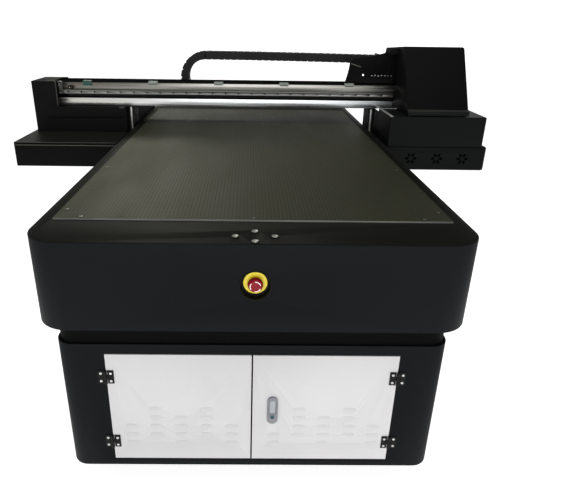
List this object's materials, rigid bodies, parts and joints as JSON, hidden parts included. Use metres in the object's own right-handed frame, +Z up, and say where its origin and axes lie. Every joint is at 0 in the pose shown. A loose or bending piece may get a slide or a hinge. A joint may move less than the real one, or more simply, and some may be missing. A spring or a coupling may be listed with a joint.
{
  "type": "flatbed UV printer",
  "caption": "Flatbed UV printer with a perforated vacuum bed on a rounded black body, a travelling gantry and a print carriage.",
  "frame": {"origin": "on the floor, under the middle of the machine's footprint", "axes": "+X to the operator's right, +Y away from the operator along the bed, +Z up"},
  "size_m": [2.012, 2.28, 1.102],
  "materials": {
    "black_powder_coat": "satin",
    "deck_paint": "satin",
    "door_paint": "satin",
    "anodised_bed": "satin",
    "bare_aluminium": "satin",
    "rail_steel": "satin",
    "galvanised": "matt",
    "black_plastic": "matt",
    "black_rubber": "matt",
    "yellow_plastic": "gloss",
    "red_plastic": "gloss",
    "button_metal": "satin"
  },
  "bodies": {
    "base": {"front_shell": "black_powder_coat", "rear_shell": "black_powder_coat", "body_side_panels": "black_powder_coat", "top_deck": "deck_paint", "body_floor": "black_powder_coat", "vacuum_bed": "anodised_bed", "bed_screws": "rail_steel", "vacuum_chamber": "bare_aluminium", "y_rails": "rail_steel", "y_belts": "black_rubber", "base_frame": "black_powder_coat", "cabinet_front": "black_powder_coat", "cabinet_panels": "black_powder_coat", "levelling_feet": "rail_steel", "control_box": "galvanised", "vacuum_blower": "black_plastic", "power_inlet": "black_plastic", "frame_hinge_leaves": "black_plastic", "estop_collar": "yellow_plastic", "button_bezels": "button_metal"},
    "left_door": {"door_left": "door_paint", "left_hinge_leaves": "black_plastic"},
    "right_door": {"door_right": "door_paint", "right_hinge_leaves": "black_plastic", "latch_body": "black_plastic"},
    "paddle": {"latch_paddle": "black_plastic"},
    "emergency_stop": {"estop_button": "red_plastic"},
    "left_push": {"button_left": "button_metal"},
    "right_push": {"button_right": "button_metal"},
    "front_push": {"button_front": "button_metal"},
    "back_push": {"button_back": "button_metal"},
    "gantry": {"beam": "black_powder_coat", "beam_face_strips": "bare_aluminium", "x_rail": "rail_steel", "beam_clips": "black_plastic", "end_clamp": "bare_aluminium", "stop_knob": "black_plastic", "x_belt": "black_rubber", "x_motor": "black_plastic", "gantry_legs": "bare_aluminium", "y_bearing_blocks": "rail_steel", "left_side_box": "black_powder_coat", "left_drive_box": "black_powder_coat", "station_lower": "black_powder_coat", "station_upper": "black_powder_coat", "capping_unit": "bare_aluminium", "left_cover": "black_powder_coat", "chain_trough": "bare_aluminium", "chain_lower": "black_plastic"},
    "drive_pulley": {"x_drive_pulley": "rail_steel"},
    "idler_pulley": {"x_idler_pulley": "rail_steel"},
    "carriage": {"carriage_cover": "black_powder_coat", "slide_frame": "bare_aluminium", "x_bearing_blocks": "rail_steel", "chain_bracket": "black_powder_coat", "chain_upper": "black_plastic"},
    "head_lift": {"head_carrier": "bare_aluminium", "print_heads": "black_plastic", "uv_lamps": "bare_aluminium"},
    "bend": {"chain_bend": "black_plastic"}
  },
  "joints": [
    {"name": "gantry_travel", "type": "slide", "parent": "base", "child": "gantry", "axis": [0, 1, 0], "range_m": [-1.15, 0.36]},
    {"name": "carriage_travel", "type": "slide", "parent": "gantry", "child": "carriage", "axis": [-1, 0, 0], "range_m": [0, 1.32], "deforming": ["chain_upper"]},
    {"name": "head_height", "type": "slide", "parent": "carriage", "child": "head_lift", "axis": [0, 0, -1], "range_m": [0, 0.104]},
    {"name": "chain_travel", "type": "slide", "parent": "gantry", "child": "bend", "axis": [-1, 0, 0], "range_m": [0, 0.66]},
    {"name": "drive_pulley_turn", "type": "hinge", "parent": "gantry", "child": "drive_pulley", "pos_m": [0.925, 0.337, 0.867], "axis": [0, 0, 1], "continuous": true},
    {"name": "idler_pulley_turn", "type": "hinge", "parent": "gantry", "child": "idler_pulley", "pos_m": [-0.84, 0.337, 0.867], "axis": [0, 0, 1], "continuous": true},
    {"name": "left_door_hinge", "type": "hinge", "parent": "base", "child": "left_door", "pos_m": [-0.37, -1.1105, 0.265], "axis": [0, 0, -1], "range_deg": [0, 110]},
    {"name": "right_door_hinge", "type": "hinge", "parent": "base", "child": "right_door", "pos_m": [0.37, -1.1105, 0.265], "axis": [0, 0, 1], "range_deg": [0, 110]},
    {"name": "latch_pull", "type": "hinge", "parent": "right_door", "child": "paddle", "pos_m": [0.054, -1.111, 0.294], "axis": [-1, 0, 0], "range_deg": [0, 35], "stiffness_Nm_per_rad": 0.03},
    {"name": "emergency_stop_press", "type": "slide", "parent": "base", "child": "emergency_stop", "axis": [0, 1, 0], "range_m": [0, 0.005]},
    {"name": "left_button_press", "type": "slide", "parent": "base", "child": "left_push", "axis": [0, 0, -1], "range_m": [0, 0.0025], "stiffness_N_per_m": 300, "springref_m": -0.002},
    {"name": "right_button_press", "type": "slide", "parent": "base", "child": "right_push", "axis": [0, 0, -1], "range_m": [0, 0.0025], "stiffness_N_per_m": 300, "springref_m": -0.002},
    {"name": "front_button_press", "type": "slide", "parent": "base", "child": "front_push", "axis": [0, 0, -1], "range_m": [0, 0.0025], "stiffness_N_per_m": 300, "springref_m": -0.002},
    {"name": "back_button_press", "type": "slide", "parent": "base", "child": "back_push", "axis": [0, 0, -1], "range_m": [0, 0.0025], "stiffness_N_per_m": 300, "springref_m": -0.002}
  ],
  "couplings": [
    {"joint": "chain_travel", "follows": "carriage_travel", "ratio": 0.5},
    {"joint": "drive_pulley_turn", "follows": "carriage_travel", "rad_per_m": -57.8},
    {"joint": "idler_pulley_turn", "follows": "carriage_travel", "rad_per_m": -57.8}
  ]
}
